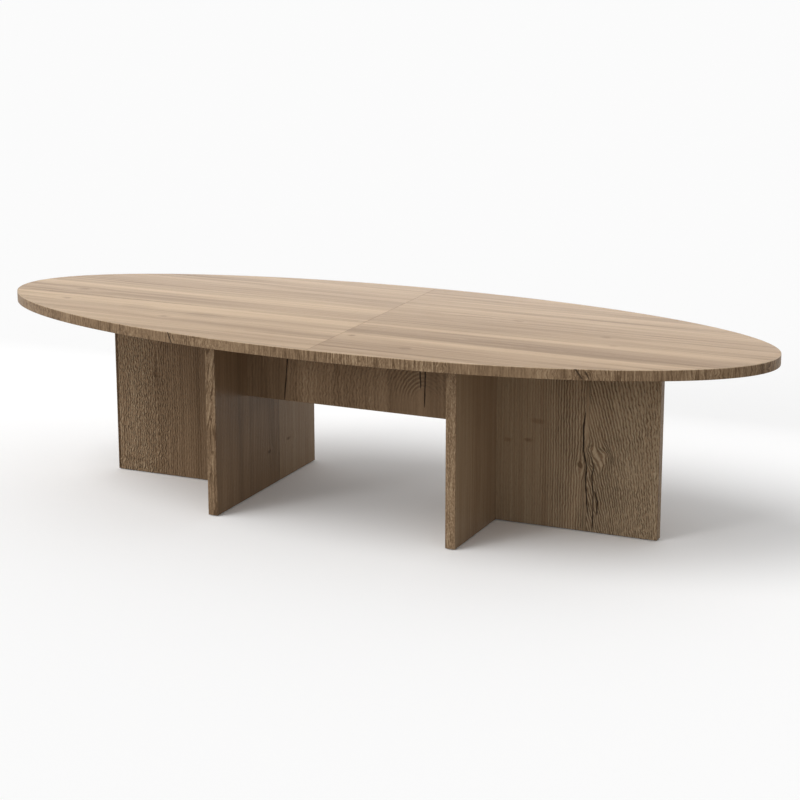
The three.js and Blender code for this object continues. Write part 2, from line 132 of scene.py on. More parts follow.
# Camera, fitted to the photo
CAMERA_PLACE = (3.485, -7.505, 2.595)
CAMERA_AZIMUTH = math.radians(24.24)
CAMERA_PITCH = math.radians(14.74)
CAMERA_LENS = 98.2
SENSOR_WIDTH = 36.0

# Finishes, as linear colours
OAK_TOP_DARK = (0.262, 0.158, 0.079)
OAK_TOP_MID = (0.440, 0.297, 0.175)
OAK_TOP_LIGHT = (0.580, 0.412, 0.250)
# The panels' and edge bands' oak is the top's oak darkened as painted shade
PANEL_OAK_DARK_PAINTED_SHADE = (0.130, 0.080, 0.043)
PANEL_OAK_MID_PAINTED_SHADE = (0.283, 0.188, 0.113)
PANEL_OAK_LIGHT_PAINTED_SHADE = (0.435, 0.326, 0.213)
EDGE_OAK_DARK_PAINTED_SHADE = (0.120, 0.072, 0.038)
EDGE_OAK_MID_PAINTED_SHADE = (0.285, 0.190, 0.112)
EDGE_OAK_LIGHT_PAINTED_SHADE = (0.520, 0.385, 0.250)
OAK_SPLIT = (0.045, 0.027, 0.015)
CHIPBOARD_DARK = (0.300, 0.200, 0.110)
CHIPBOARD_LIGHT = (0.620, 0.480, 0.310)
ZINC = (0.62, 0.64, 0.66)
CAST_ZINC = (0.46, 0.46, 0.47)
BLACK_PLASTIC = (0.018, 0.018, 0.020)
BROWN_PLASTIC = (0.170, 0.108, 0.062)
BEECH_DARK = (0.42, 0.27, 0.15)
BEECH_LIGHT = (0.68, 0.48, 0.30)
FLOOR_WHITE = (0.99, 0.99, 0.99)
FLOOR_BOUNCE = (0.46, 0.44, 0.41)
WORLD_WHITE = (1.0, 1.0, 1.0)

# Studio
FLOOR_REACH = 150.0
FLOOR_SEGMENTS = 4
FLOOR_ROUGHNESS = 0.9
WORLD_LIGHT = 0.54
KEY_LIGHT = 1.60
KEY_FROM = (-2.2, -1.6, 3.3)
KEY_SPREAD = math.radians(50)
FILL_LIGHT = 0.50
FILL_FROM = (-1.5, -2.2, 0.75)
FILL_SPREAD = math.radians(16)
SHEEN_PLACE = (-0.4, 1.8, 0.95)
SHEEN_SIZE = (5.0, 0.35)
SHEEN_POWER = 10.0

# A Mix node's colour sockets
MIX_FIRST = 6
MIX_SECOND = 7
MIX_RESULT = 2

# The mean of a noise
MEAN = 0.5


class Field:
    """A number that varies over a surface, with arithmetic that adds nodes to its material."""

    def __init__(self, surface, socket):
        self.surface = surface
        self.socket = socket

    def math(self, operation, *others):
        return self.surface.math(operation, self, *others)

    def __add__(self, other):
        return self.math("ADD", other)

    def __sub__(self, other):
        return self.math("SUBTRACT", other)

    def __rsub__(self, other):
        return self.surface.math("SUBTRACT", other, self)

    def __mul__(self, other):
        return self.math("MULTIPLY", other)

    def __truediv__(self, other):
        return self.math("DIVIDE", other)

    def __abs__(self):
        return self.math("ABSOLUTE")

    __radd__ = __add__
    __rmul__ = __mul__

    def squared(self):
        return self * self

    def root(self):
        return self.math("SQRT")

    def scaled(self, share, least):
        """A share of the number on top of the least that is left."""
        return self * share + least

    def wave(self):
        return (self * TURN).math("SINE")

    def lower(self, other):
        return self.math("MINIMUM", other)

    def higher(self, other):
        return self.math("MAXIMUM", other)

    def above(self, limit):
        return self.math("GREATER_THAN", limit)

    def below(self, limit):
        return self.math("LESS_THAN", limit)


class Surface:
    """A material being built, whose short calls add nodes and return fields or colours."""

    def __init__(self, name):
        self.material = bpy.data.materials.new(name)
        self.material.use_nodes = True
        self.nodes = self.material.node_tree.nodes
        self.links = self.material.node_tree.links
        self.shader = self.nodes["Principled BSDF"]

    def feed(self, socket, value):
        if isinstance(value, Field):
            self.links.new(value.socket, socket)
        elif isinstance(value, bpy.types.NodeSocket):
            self.links.new(value, socket)
        elif isinstance(value, tuple):
            socket.default_value = (*value, 1.0)
        else:
            socket.default_value = value

    def math(self, operation, *values):
        node = self.nodes.new("ShaderNodeMath")
        node.operation = operation
        for socket, value in zip(node.inputs, values):
            self.feed(socket, value)
        return Field(self, node.outputs[0])

    def parts_of(self, vector):
        node = self.nodes.new("ShaderNodeSeparateXYZ")
        self.links.new(vector, node.inputs[0])
        return [Field(self, output) for output in node.outputs]

    def place(self):
        return self.parts_of(self.nodes.new("ShaderNodeTexCoord").outputs["Object"])

    def normal(self):
        return self.parts_of(self.nodes.new("ShaderNodeNewGeometry").outputs["True Normal"])

    def noise(self, x, y, z, detail=2.0, roughness=0.5):
        """Noise at a place, from 0 to 1 about its mean."""
        where = self.nodes.new("ShaderNodeCombineXYZ")
        for socket, value in zip(where.inputs, (x, y, z)):
            self.feed(socket, value)
        node = self.nodes.new("ShaderNodeTexNoise")
        self.links.new(where.outputs[0], node.inputs["Vector"])
        node.inputs["Scale"].default_value = 1.0
        node.inputs["Detail"].default_value = detail
        node.inputs["Roughness"].default_value = roughness
        return Field(self, node.outputs["Fac"])

    def grit(self, x, y, z, per_metre, detail=2.0, roughness=0.5):
        """A noise that is as fine in all directions."""
        return self.noise(x * per_metre, y * per_metre, z * per_metre, detail, roughness)

    def spread(self, first, second, seed, noise):
        """A noise over two directions of a face."""
        return self.noise(
            first * noise.first, second * noise.second, seed + noise.offset, noise.detail
        )

    def shift(self, first, second, seed, noise):
        """The same noise as a shift to either side."""
        return (self.spread(first, second, seed, noise) - MEAN) * noise.swing

    def patches(self, first, second, seed, noise):
        """The same noise as patches: 1 in them and 0 between them."""
        return self.step(self.spread(first, second, seed, noise), *noise.step)

    def upright(self, x, y, z, seed, noise):
        """A noise round an edge: its first number counts level, its second along Z."""
        return self.noise(
            x * noise.first, y * noise.first, z * noise.second + seed, noise.detail
        )

    def step(self, value, start, end):
        """0 before start, 1 after end, smooth between them."""
        node = self.nodes.new("ShaderNodeMapRange")
        node.interpolation_type = "SMOOTHSTEP"
        self.feed(node.inputs["Value"], value)
        self.feed(node.inputs["From Min"], start)
        self.feed(node.inputs["From Max"], end)
        return Field(self, node.outputs[0])

    def ramp(self, amount, stops):
        """The colour at an amount, between (position, colour) stops."""
        node = self.nodes.new("ShaderNodeValToRGB")
        self.feed(node.inputs[0], amount)
        elements = node.color_ramp.elements
        while len(elements) < len(stops):
            elements.new(0.5)
        for element, (position, colour) in zip(elements, stops):
            element.position = position
            element.color = (*colour, 1.0)
        return node.outputs["Color"]

    def profile(self, value, points):
        """A broken line through (value, result) points, held level past its ends."""
        first, last = points[0][0], points[-1][0]
        results = [result for _, result in points]
        least = min(results)
        span = max(max(results) - least, TINY)
        stops = []
        for where, result in points:
            grey = (result - least) / span
            stops.append(((where - first) / (last - first), (grey, grey, grey)))
        colour = self.ramp((value - first) / (last - first), stops)
        return Field(self, colour) * span + least

    def blend(self, amount, first, second):
        """The first colour at 0, the second at 1."""
        node = self.nodes.new("ShaderNodeMix")
        node.data_type = "RGBA"
        self.feed(node.inputs[0], amount)
        self.feed(node.inputs[MIX_FIRST], first)
        self.feed(node.inputs[MIX_SECOND], second)
        return node.outputs[MIX_RESULT]

    def bump(self, height, depth):
        node = self.nodes.new("ShaderNodeBump")
        node.inputs["Strength"].default_value = 1.0
        node.inputs["Distance"].default_value = depth
        self.feed(node.inputs["Height"], height)
        self.links.new(node.outputs[0], self.shader.inputs["Normal"])

    def finish(self, colour, roughness, metallic=0.0, specular=0.5):
        self.feed(self.shader.inputs["Base Color"], colour)
        self.feed(self.shader.inputs["Roughness"], roughness)
        self.feed(self.shader.inputs["Metallic"], metallic)
        self.feed(self.shader.inputs["Specular IOR Level"], specular)
        return self.material


@dataclass
class Noise:
    """Bumps per metre in two directions, an offset to the seed, and how the noise is used."""

    first: float
    second: float
    offset: float = 0.0
    detail: float = 2.0
    swing: float = 1.0
    step: tuple = (0.0, 1.0)


@dataclass
class Line:
    """A mark that follows (across, along) points, from its lowest along to its highest."""

    width: float
    strength: float
    points: Sequence


@dataclass
class Knot:
    """A round mark: its centre and reach, each across and along the grain, and its strength.

    The grain makes way round a knot that has a push.
    """

    centre: tuple
    reach: tuple
    strength: float
    push: float = 0.0


@dataclass
class Figure:
    """The figure of one decor panel, in metres across and along its grain.

    Rings stand a spacing apart, and past the closing places they arch over the heart. The less
    their rise, the longer the arches. A plain heart has no rings. Tones, ringed and waved are
    profiles across the grain: its shade, with painted shade near the cross panels on some
    figures, how strongly rings show, and how strongly they break up, by as much as breaking says.
    """

    seed: float
    heart: tuple = (0.0, 0.0)
    rise: float = 0.2
    closing: tuple = (-9.0, -8.0)
    pointed: float = 0.0
    plain_heart: float = 0.0
    spacing: float = 0.0125
    breaking: float = 0.016
    tones_and_painted_shade: Sequence = ((-1.0, 0.0), (1.0, 0.0))
    ringed: Sequence = ((-1.0, 0.05), (1.0, 0.05))
    waved: Sequence = ((-1.0, 0.05), (1.0, 0.05))
    splits: Sequence = ()
    lines: Sequence = ()
    knots: Sequence = ()


@dataclass
class Edge:
    """The decor of an edge band, whose grain stands upright.

    Its fineness is in lines per metre. It is painted paler upwards and darker downwards, as
    painted light and shade, and paler still on its upper arris, as a painted highlight. Growth is
    how dark its thin growth lines are, and strengths a profile of relief along X.
    """

    seed: float
    shade: float
    contrast: float
    lean: float = 0.0
    curl: float = 0.036
    fineness: float = 170.0
    specks: float = 0.5
    painted_light_upwards: float = 0.0
    growth: float = 0.0
    painted_arris_highlight: float = 0.0
    strengths: Sequence = ((-1.0, 1.0), (1.0, 1.0))
    knots: Sequence = ()
    splits: Sequence = ()


# Knots and lines. A rim runs from where a mark is 0 to where it is 1, in its reaches
KNOT_RAGGED = Noise(1.6, 1.6, swing=0.8)
KNOT_SEEDS = 50
KNOT_RIM = (1.0, 0.1)
PUSH_REACH = (3.0, 4.0)
LINE_SHAKE = Noise(20, 30, swing=0.8)
LINE_TAPER = 3.0
LINE_SWELLS = 28
LINE_SWELL = (1.3, 0.3)
LINE_SEEDS = 90
HARD_RIM = (1.15, 0.7)
SOFT_RIM = (1.6, 0.0)

# Streaks, rings, pores and chips. A step runs from where a thing sets in to where it is full
STREAK_LENGTH = 0.35
STREAK_LENGTH_SHARE = 0.012
STREAK_SEEDS = 7.3
STREAK_DETAIL = 3.0
RING_CALM = 3.6
ARCH_STEP = (-0.02, 0.06)
ARCH_SIDE_STEP = (0.12, 0.22)
PLAIN_HEART_FADE = 2
PORES = Noise(700, 40, detail=1.0, step=(0.58, 0.72))
CHIPS = 260
CHIP_DETAIL = 3.0
CHIP_ROUGHNESS = 0.7
CHIP_STEP = (0.35, 0.68)
SAWN_TILT = 0.5

# The top's decor
TOP_WANDER = Noise(1.1, 2.5, swing=0.036)
TOP_RIPPLE = Noise(5.0, 12.0, offset=4.0, swing=0.009)
TOP_STREAKS = ((12, 0.75), (38, 0.95), (110, 0.70), (330, 0.30))
TOP_RINGED = Noise(1.4, 6.0, offset=2.0, step=(0.45, 0.75))
TOP_RING_TONE = 0.07
TOP_SHADES = [(0.10, OAK_TOP_DARK), (0.50, OAK_TOP_MID), (0.85, OAK_TOP_LIGHT)]
TOP_PORES = 0.22
TOP_RELIEF = 0.3
TOP_DEPTH = 0.3 * MM
TOP_ROUGHNESS = (0.1, 0.32)
TOP_SPECULAR = 0.045
SEAM_SHADE = 0.22

# The panels' decor
BACK_SHIFT = (0.13, 0.09)
PANEL_WANDER = Noise(3.0, 1.2, swing=0.03)
PANEL_RIPPLE = Noise(42, 36, offset=5.0)
PANEL_RIPPLE_LEAST = 0.005
PANEL_STREAKS = ((16, 0.50), (60, 0.36), (190, 0.30))
PANEL_PATCHES = Noise(8, 5, offset=12.0, step=(0.32, 0.60))
PANEL_PATCHY = (0.6, 0.4)
PANEL_BEADS = Noise(70, 40, offset=15.0)
PANEL_BEADED = (1.2, 0.4)
PANEL_DASHES = Noise(95, 62, offset=9.0, step=(0.36, 0.60))
PANEL_SPECKS = Noise(200, 70, offset=18.0)
# Crests and specks show in the colour too: partly the grain's own figure, partly painted light
# and shade of the relief
CREST_RELIEF = 0.45
CREST_TONE_AND_PAINTED_SHADING = 0.33
SPECK_RELIEF = 0.6
SPECK_TONE_AND_PAINTED_SHADING = 0.62
PANEL_SHADES = [(0.12, PANEL_OAK_DARK_PAINTED_SHADE), (0.50, PANEL_OAK_MID_PAINTED_SHADE), (0.88, PANEL_OAK_LIGHT_PAINTED_SHADE)]
PANEL_PORES = 0.30
PANEL_FINE_RELIEF = 0.06
PANEL_DEPTH = 5.0 * MM
PANEL_ROUGHNESS = (0.1, 0.36)
PANEL_SPECULAR = 0.075

# The edges' decor
EDGE_MIDDLE = UNDERSIDE / 2
EDGE_CURLS = Noise(3.5, 3.5, offset=3.0, step=(0.52, 0.66))
EDGE_BENDS = Noise(16, 22)
EDGE_BEND_LEAST = 0.008
EDGE_LINE_BREAKS = 12
EDGE_LINE_DETAIL = 3.0
EDGE_GROWTH = Noise(110, 6, detail=0.0)
EDGE_GROWTH_STEP = (0.08, 0.01)
EDGE_CLOUDS = Noise(9, 2, swing=0.4)
EDGE_STRONG = Noise(5, 5, step=(0.3, 0.7))
EDGE_STRENGTH = (0.7, 0.5)
EDGE_SPECKS = Noise(330, 110)
# Where the painted highlight runs along the upper arris
ARRIS_HIGHLIGHT_STEP = (TABLE_HEIGHT - 3.5 * MM, TABLE_HEIGHT - 0.8 * MM)
EDGE_SHADES = [(0.12, EDGE_OAK_DARK_PAINTED_SHADE), (0.50, EDGE_OAK_MID_PAINTED_SHADE), (0.88, EDGE_OAK_LIGHT_PAINTED_SHADE)]
EDGE_PORES = 0.40
EDGE_PORE_DEPTH = 0.3
EDGE_DEPTH = 1.4 * MM
EDGE_ROUGHNESS = (0.2, 0.32)
EDGE_SPECULAR = 0.12

# Metal, plastic and dowel wood
METAL_CLOUDS = 90
METAL_DETAIL = 4.0
METAL_DULL = 0.72
ZINC_ROUGHNESS = (0.2, 0.24)
CAST_ROUGHNESS = (0.2, 0.38)
PLASTIC_GRIT = 1500
PLASTIC_PALER = 1.5
PLASTIC_DEPTH = 0.05 * MM
PLASTIC_ROUGHNESS = (0.2, 0.45)
BEECH_FLECKS = (120, 900)
BEECH_ROUGHNESS = (0.2, 0.6)

# Figures, placed from the photo. The back rail's is guessed
TOP_FIGURES = {}
TOP_FIGURES["left"] = Figure(
    seed=3.1,
    heart=(-0.05, -0.9),
    rise=0.05,
    tones_and_painted_shade=[
        (-0.6, 0.0), (-0.44, 0.04), (-0.4, -0.06), (-0.3, 0.0), (-0.22, 0.07),
        (-0.17, 0.17), (-0.12, 0.12), (-0.095, -0.08), (-0.04, -0.1), (0.02, -0.07),
        (0.05, 0.08), (0.1, 0.17), (0.155, 0.11), (0.19, -0.11), (0.28, -0.09),
        (0.34, -0.02), (0.6, -0.04),
    ],
    lines=[
        Line(0.016, 0.34, [(-0.086, -1.54), (-0.092, -1.1), (-0.096, -0.72)]),
        Line(0.013, 0.26, [(-0.103, -0.5), (-0.1, -0.2), (-0.098, 0.02)]),
        Line(0.014, 0.22, [(-0.412, -0.36), (-0.405, 0.02)]),
        Line(0.012, 0.16, [(0.205, -1.3), (0.195, -0.6), (0.2, 0.02)]),
        Line(0.01, 0.14, [(0.3, -1.05), (0.285, -0.3)]),
    ],
    knots=[
        Knot((-0.18, -1.29), (0.02, 0.03), 0.4, push=0.6),
        Knot((-0.31, -0.76), (0.022, 0.035), 0.4, push=0.6),
        Knot((0.0, -1.32), (0.026, 0.045), 0.28, push=0.6),
        Knot((-0.2, -0.94), (0.05, 0.11), 0.14),
        Knot((-0.23, -0.62), (0.05, 0.12), 0.14),
    ],
)
TOP_FIGURES["right"] = Figure(
    seed=11.7,
    heart=(0.08, 0.75),
    rise=0.05,
    tones_and_painted_shade=[
        (-0.6, -0.03), (-0.53, -0.03), (-0.505, -0.27), (-0.45, -0.19), (-0.4, -0.14),
        (-0.36, 0.01), (-0.29, 0.05), (-0.26, -0.13), (-0.22, -0.28), (-0.16, -0.12),
        (-0.11, 0.01), (-0.06, -0.1), (0.02, -0.07), (0.08, -0.04), (0.14, -0.12),
        (0.2, -0.03), (0.27, -0.03), (0.3, -0.13), (0.35, 0.0), (0.45, -0.03),
        (0.48, -0.12), (0.6, -0.08),
    ],
    lines=[
        Line(0.01, 0.22, [(0.478, 0.04), (0.47, 0.36)]),
        Line(0.022, 0.14, [(0.295, 0.72), (0.29, 1.24)]),
        Line(0.012, 0.26, [(0.132, 1.04), (0.14, 1.3), (0.142, 1.58)]),
        Line(0.008, 0.3, [(0.16, 0.24), (0.172, 0.4), (0.165, 0.54)]),
        Line(0.024, -0.16, [(0.18, 0.2), (0.19, 0.36), (0.18, 0.54)]),
        Line(0.008, 0.2, [(-0.08, 0.02), (-0.088, 0.9)]),
        Line(0.008, 0.18, [(-0.135, 0.02), (-0.15, 0.75)]),
        Line(0.03, 0.2, [(-0.2, 0.45), (-0.235, 0.9), (-0.25, 1.42)]),
        Line(0.01, 0.28, [(-0.512, 0.02), (-0.505, 0.62)]),
    ],
    knots=[
        Knot((-0.316, 0.05), (0.018, 0.022), 0.45, push=0.6),
        Knot((-0.426, 0.32), (0.022, 0.03), 0.4, push=0.6),
        Knot((0.168, 0.53), (0.016, 0.03), 0.35, push=0.6),
        Knot((0.04, 0.93), (0.02, 0.03), 0.25, push=0.6),
        Knot((-0.08, 1.0), (0.018, 0.03), 0.22),
    ],
)

PANEL_FIGURES = {}
PANEL_FIGURES["right_fin_panel"] = Figure(
    seed=21.0,
    heart=(0.892, 0.35),
    rise=0.28,
    closing=(-0.015, 0.005),
    pointed=30.0,
    spacing=0.0108,
    tones_and_painted_shade=[(0.52, 0.16), (0.75, 0.15), (0.84, 0.11), (0.95, 0.18), (1.17, 0.21)],
    ringed=[(0.52, 0.05), (0.69, 0.1), (0.8, 0.85), (0.98, 1.0), (1.06, 0.55), (1.17, 0.25)],
    waved=[
        (0.52, 0.12), (0.72, 0.15), (0.8, 0.3), (0.92, 0.34), (1.0, 0.56), (1.08, 0.8),
        (1.17, 0.9),
    ],
    splits=[
        Line(0.0058, 1.0, [
            (0.897, 0.066), (0.889, 0.125), (0.884, 0.2), (0.886, 0.2625),
            (0.873, 0.319), (0.871, 0.4125), (0.8785, 0.476),
        ]),
        Line(0.0044, 1.0, [
            (0.914, 0.004), (0.915, 0.15), (0.9075, 0.225), (0.914, 0.256), (0.904, 0.3),
        ]),
        Line(0.0062, 1.0, [(0.931, 0.072), (0.9325, 0.125), (0.92, 0.166)]),
    ],
    lines=[
        Line(0.005, -0.3, [(0.583, -0.1), (0.583, 0.8)]),
        Line(0.005, 0.12, [(0.768, 0.0), (0.766, 0.71)]),
        Line(0.006, 0.3, [(0.96, 0.36), (0.945, 0.385), (0.925, 0.425)]),
        Line(0.0045, 0.18, [(0.8785, 0.44), (0.882, 0.58), (0.886, 0.73)]),
    ],
    knots=[
        Knot((0.861, 0.262), (0.012, 0.017), 0.7, push=0.7),
        Knot((0.93, 0.304), (0.024, 0.016), -0.16, push=0.7),
        Knot((0.688, 0.415), (0.042, 0.017), 0.21),
        Knot((0.651, 0.337), (0.026, 0.012), 0.27),
        Knot((0.567, 0.328), (0.026, 0.012), 0.21),
    ],
)
PANEL_FIGURES["left_fin_panel"] = Figure(
    seed=35.0,
    heart=(-0.98, 0.2),
    rise=0.03,
    spacing=0.0108,
    breaking=0.021,
    # The tones darken towards the cross panel as painted shade
    tones_and_painted_shade=[(-1.17, 0.02), (-1.0, -0.03), (-0.88, -0.15), (-0.52, -0.22)],
    ringed=[(-1.17, 0.1), (-0.92, 0.05), (-0.52, 0.02)],
    waved=[(-1.17, 0.76), (-1.06, 1.0), (-0.98, 0.95), (-0.84, 0.34), (-0.52, 0.14)],
    lines=[
        Line(0.007, -0.14, [(-1.15, 0.0), (-1.148, 0.71)]),
        Line(0.014, 0.8, [(-1.166, -0.1), (-1.165, 0.8)]),
    ],
    knots=[
        Knot((-0.98, 0.425), (0.03, 0.02), 0.22),
        Knot((-1.105, 0.055), (0.07, 0.018), 0.14),
    ],
)
PANEL_FIGURES["left_cross_panel"] = Figure(
    seed=45.0,
    heart=(0.05, 0.9),
    rise=0.06,
    tones_and_painted_shade=[(-0.43, -0.06), (0.095, -0.08), (0.105, 0.1), (0.43, 0.1)],
    lines=[
        Line(0.006, 0.45, [(0.1, 0.0), (0.103, 0.71)]),
        Line(0.006, -0.1, [(-0.16, 0.0), (-0.158, 0.71)]),
    ],
    knots=[
        Knot((0.185, 0.16), (0.024, 0.01), 0.4, push=0.3),
        Knot((0.014, 0.147), (0.02, 0.011), 0.36, push=0.3),
    ],
)
PANEL_FIGURES["right_cross_panel"] = Figure(
    seed=52.0,
    heart=(-0.2, 1.1),
    rise=0.05,
    tones_and_painted_shade=[(-0.43, 0.1), (-0.25, 0.04), (-0.1, 0.08), (0.43, 0.08)],
    lines=[Line(0.006, 0.16, [(-0.262, 0.0), (-0.258, 0.71)])],
    knots=[Knot((0.21, 0.33), (0.012, 0.022), 0.4, push=0.5)],
)
PANEL_FIGURES["front_rail"] = Figure(
    seed=63.0,
    heart=(0.285, 0.47),
    rise=0.85,
    plain_heart=0.04,
    spacing=0.013,
    breaking=0.05,
    # The tones darken towards both cross panels as painted shade; left of the split the plank is
    # darker too
    tones_and_painted_shade=[
        (-0.48, -0.17), (-0.325, -0.15), (-0.3, -0.09), (0.18, -0.1), (0.3, -0.13),
        (0.48, -0.17),
    ],
    ringed=[(-0.48, 0.06), (0.13, 0.1), (0.2, 0.5), (0.26, 0.5), (0.29, 0.06)],
    waved=[(-0.48, 0.1), (-0.31, 0.12), (-0.29, 0.38), (0.12, 0.38), (0.18, 0.1), (0.48, 0.2)],
    splits=[
        Line(0.0055, 1.0, [(-0.319, 0.421), (-0.312, 0.5), (-0.304, 0.59), (-0.3, 0.71)]),
        Line(0.005, 1.0, [(0.264, 0.525), (0.26, 0.6), (0.257, 0.7)]),
        Line(0.005, 1.0, [(0.279, 0.455), (0.281, 0.54), (0.283, 0.7)]),
    ],
    lines=[Line(0.006, -0.16, [(-0.41, 0.42), (-0.408, 0.71)])],
)
PANEL_FIGURES["back_rail"] = Figure(
    seed=71.0,
    heart=(-0.18, 0.4),
    rise=0.27,
    plain_heart=0.03,
    breaking=0.04,
    tones_and_painted_shade=[(-0.48, 0.0), (0.1, 0.02), (0.13, -0.06), (0.48, -0.02)],
    ringed=[(-0.48, 0.2), (0.1, 0.24), (0.14, 0.15), (0.48, 0.12)],
    waved=[(-0.48, 0.35), (0.1, 0.35), (0.14, 0.15), (0.48, 0.12)],
    splits=[Line(0.005, 1.0, [(-0.205, 0.421), (-0.198, 0.52), (-0.202, 0.61)])],
)

RIM_EDGE = Edge(
    seed=0.7,
    shade=0.48,
    contrast=1.2,
    growth=0.24,
    # Painted highlight along the upper arris
    painted_arris_highlight=0.4,
    strengths=[
        (-1.6, 1.0), (-0.2, 0.8), (0.05, 0.9), (0.14, 1.3), (0.48, 1.3), (0.6, 0.55),
        (0.93, 0.55), (1.0, 1.2), (1.12, 1.2), (1.25, 0.8), (1.6, 1.0),
    ],
    knots=[
        Knot((0.215, 0.728), (0.009, 0.007), 0.3, push=0.8),
        Knot((0.3, 0.738), (0.007, 0.006), 0.25, push=0.8),
        Knot((0.52, 0.724), (0.01, 0.007), 0.2, push=0.8),
        Knot((-0.56, 0.722), (0.008, 0.006), 0.15, push=0.8),
        Knot((1.065, 0.73), (0.008, 0.006), 0.15, push=0.8),
    ],
    splits=[
        Line(0.007, 0.9, [(-0.585, UNDERSIDE - 0.005), (-0.607, TABLE_HEIGHT + 0.005)]),
        Line(0.0045, 0.7, [(-0.573, UNDERSIDE + 0.008), (-0.583, TABLE_HEIGHT - 0.006)]),
        Line(0.007, 0.9, [(1.018, UNDERSIDE + 0.003), (0.99, TABLE_HEIGHT + 0.004)]),
        Line(0.0055, 0.8, [(1.04, UNDERSIDE + 0.003), (1.026, TABLE_HEIGHT - 0.006)]),
    ],
)
LEANING_EDGE = Edge(
    seed=4.2,
    shade=0.48,
    contrast=1.4,
    growth=0.42,
    lean=0.17,
    curl=0.004,
    fineness=220.0,
    # Painted light and shade: paler upwards, darker downwards
    painted_light_upwards=0.3,
    knots=[
        Knot((-0.5, 0.388), (0.008, 0.01), 0.35),
        Knot((-0.495, 0.257), (0.009, 0.012), 0.4),
    ],
)
UPRIGHT_EDGE = Edge(
    seed=8.9, shade=0.46, contrast=1.05, curl=0.004, fineness=250.0, specks=1.0
)


# What the oak decors share


def spot(surface, across, along, knot):
    """1 at a knot's centre, falling to 0 at its ragged edge."""
    sideways = (across - knot.centre[0]) / knot.reach[0]
    lengthways = (along - knot.centre[1]) / knot.reach[1]
    ragged = surface.shift(sideways, lengthways, knot.centre[0] * KNOT_SEEDS, KNOT_RAGGED)
    reach = (sideways.squared() + lengthways.squared()).root() + ragged
    return surface.step(reach, *KNOT_RIM)


def mark(surface, across, along, line, rim):
    """1 on a line that follows its points, thin at its ends, and 0 beside it."""
    centre = surface.profile(along, [(where, side) for side, where in line.points])
    low, high = line.points[0][1], line.points[-1][1]
    shake = surface.spread(across, along, low, LINE_SHAKE) - MEAN
    inside = ((along - low) * (high - along)).higher(0.0)
    taper = (inside.root() * (LINE_TAPER / (high - low))).lower(1.0)
    swell = surface.noise(low, along * LINE_SWELLS, line.width * LINE_SEEDS)
    width = taper * swell.scaled(*LINE_SWELL) * (line.width / 2) + TINY
    reach = abs(across - centre + shake * line.width * LINE_SHAKE.swing) / width
    return surface.step(reach, *rim)


def streaks(surface, across, along, seed, layers):
    """Soft streaks along the grain: one noise for each (streaks per metre, strength) pair."""
    total = MEAN
    for index, (per_metre, strength) in enumerate(layers):
        lengthways = along * (STREAK_LENGTH + STREAK_LENGTH_SHARE * per_metre)
        layer = surface.noise(
            across * per_metre, lengthways, seed + STREAK_SEEDS * index, STREAK_DETAIL
        )
        total = (layer - MEAN) * strength + total
    return total


def pushed_aside(surface, across, along, figure):
    """The place across the grain, where the grain makes way round the figure's knots."""
    place = across
    for knot in figure.knots:
        if knot.push:
            reach = (knot.reach[0] * PUSH_REACH[0], knot.reach[1] * PUSH_REACH[1])
            near = spot(surface, across, along, Knot(knot.centre, reach, knot.strength))
            place = place - (across - knot.centre[0]) * near * knot.push
    return place


def rings(surface, across, along, figure):
    """Growth rings that close in arches over the heart of the board, from -1 to 1."""
    aside = across - figure.heart[0]
    above = along - figure.heart[1]
    closing = surface.step(aside, *figure.closing)
    over = above * closing * figure.rise
    if figure.pointed:
        radius = abs(aside) + over / (aside.squared() * figure.pointed + 1.0)
    else:
        radius = (aside.squared() + over.squared()).root()
    calm = 1.0 - (1.0 - closing) * closing * RING_CALM
    lines = (radius / figure.spacing).wave() * calm
    if figure.plain_heart:
        arched = surface.step(above, *ARCH_STEP)
        beside = surface.step(abs(aside), *ARCH_SIDE_STEP)
        full = figure.plain_heart + PLAIN_HEART_FADE * figure.spacing
        outside = surface.step(radius, figure.plain_heart, full)
        lines = lines * arched.higher(beside) * outside
    return lines


def marked(surface, tone, across, along, figure):
    """The tone with the figure's bands, lines and knots laid over it; some bands are painted
    shade.
    """
    tone = tone + surface.profile(across, figure.tones_and_painted_shade)
    for line in figure.lines:
        tone = tone - mark(surface, across, along, line, SOFT_RIM) * line.strength
    for knot in figure.knots:
        tone = tone - spot(surface, across, along, knot) * knot.strength
    return tone


def pores(surface, across, along, seed):
    """The short dark dashes of oak's open vessels."""
    return surface.patches(across, along, seed, PORES)


def chipboard(surface, x, y, z):
    """The colour of a sawn board."""
    chips = surface.grit(x, y, z, CHIPS, CHIP_DETAIL, CHIP_ROUGHNESS)
    return surface.blend(surface.step(chips, *CHIP_STEP), CHIPBOARD_DARK, CHIPBOARD_LIGHT)


# Finishes


def top_decor(name, side):
    """Smooth oak with broad bands along the table, and sawn chipboard where a board is cut."""
    figure = TOP_FIGURES[side]
    seed = figure.seed
    surface = Surface(name)
    x, y, z = surface.place()
    wander = surface.shift(x, y, seed, TOP_WANDER)
    ripple = surface.shift(x, y, seed, TOP_RIPPLE)
    across = pushed_aside(surface, y, x, figure) + wander + ripple
    tone = streaks(surface, across, x, seed, TOP_STREAKS)
    lines = rings(surface, across, x, figure)
    tone = tone - lines * surface.patches(x, y, seed, TOP_RINGED) * TOP_RING_TONE
    tone = marked(surface, tone, y + ripple, x, figure)
    if "seam" in name:
        tone = tone - SEAM_SHADE
    vessels = pores(surface, across, x, seed)
    colour = surface.ramp(tone, TOP_SHADES)
    colour = surface.blend(vessels * TOP_PORES, colour, OAK_TOP_DARK)
    if "board" in name:
        sawn = abs(surface.normal()[2]).below(SAWN_TILT)
        colour = surface.blend(sawn, colour, chipboard(surface, x, y, z))
    surface.bump(tone * TOP_RELIEF - vessels * TOP_RELIEF, TOP_DEPTH)
    return surface.finish(colour, vessels.scaled(*TOP_ROUGHNESS), specular=TOP_SPECULAR)


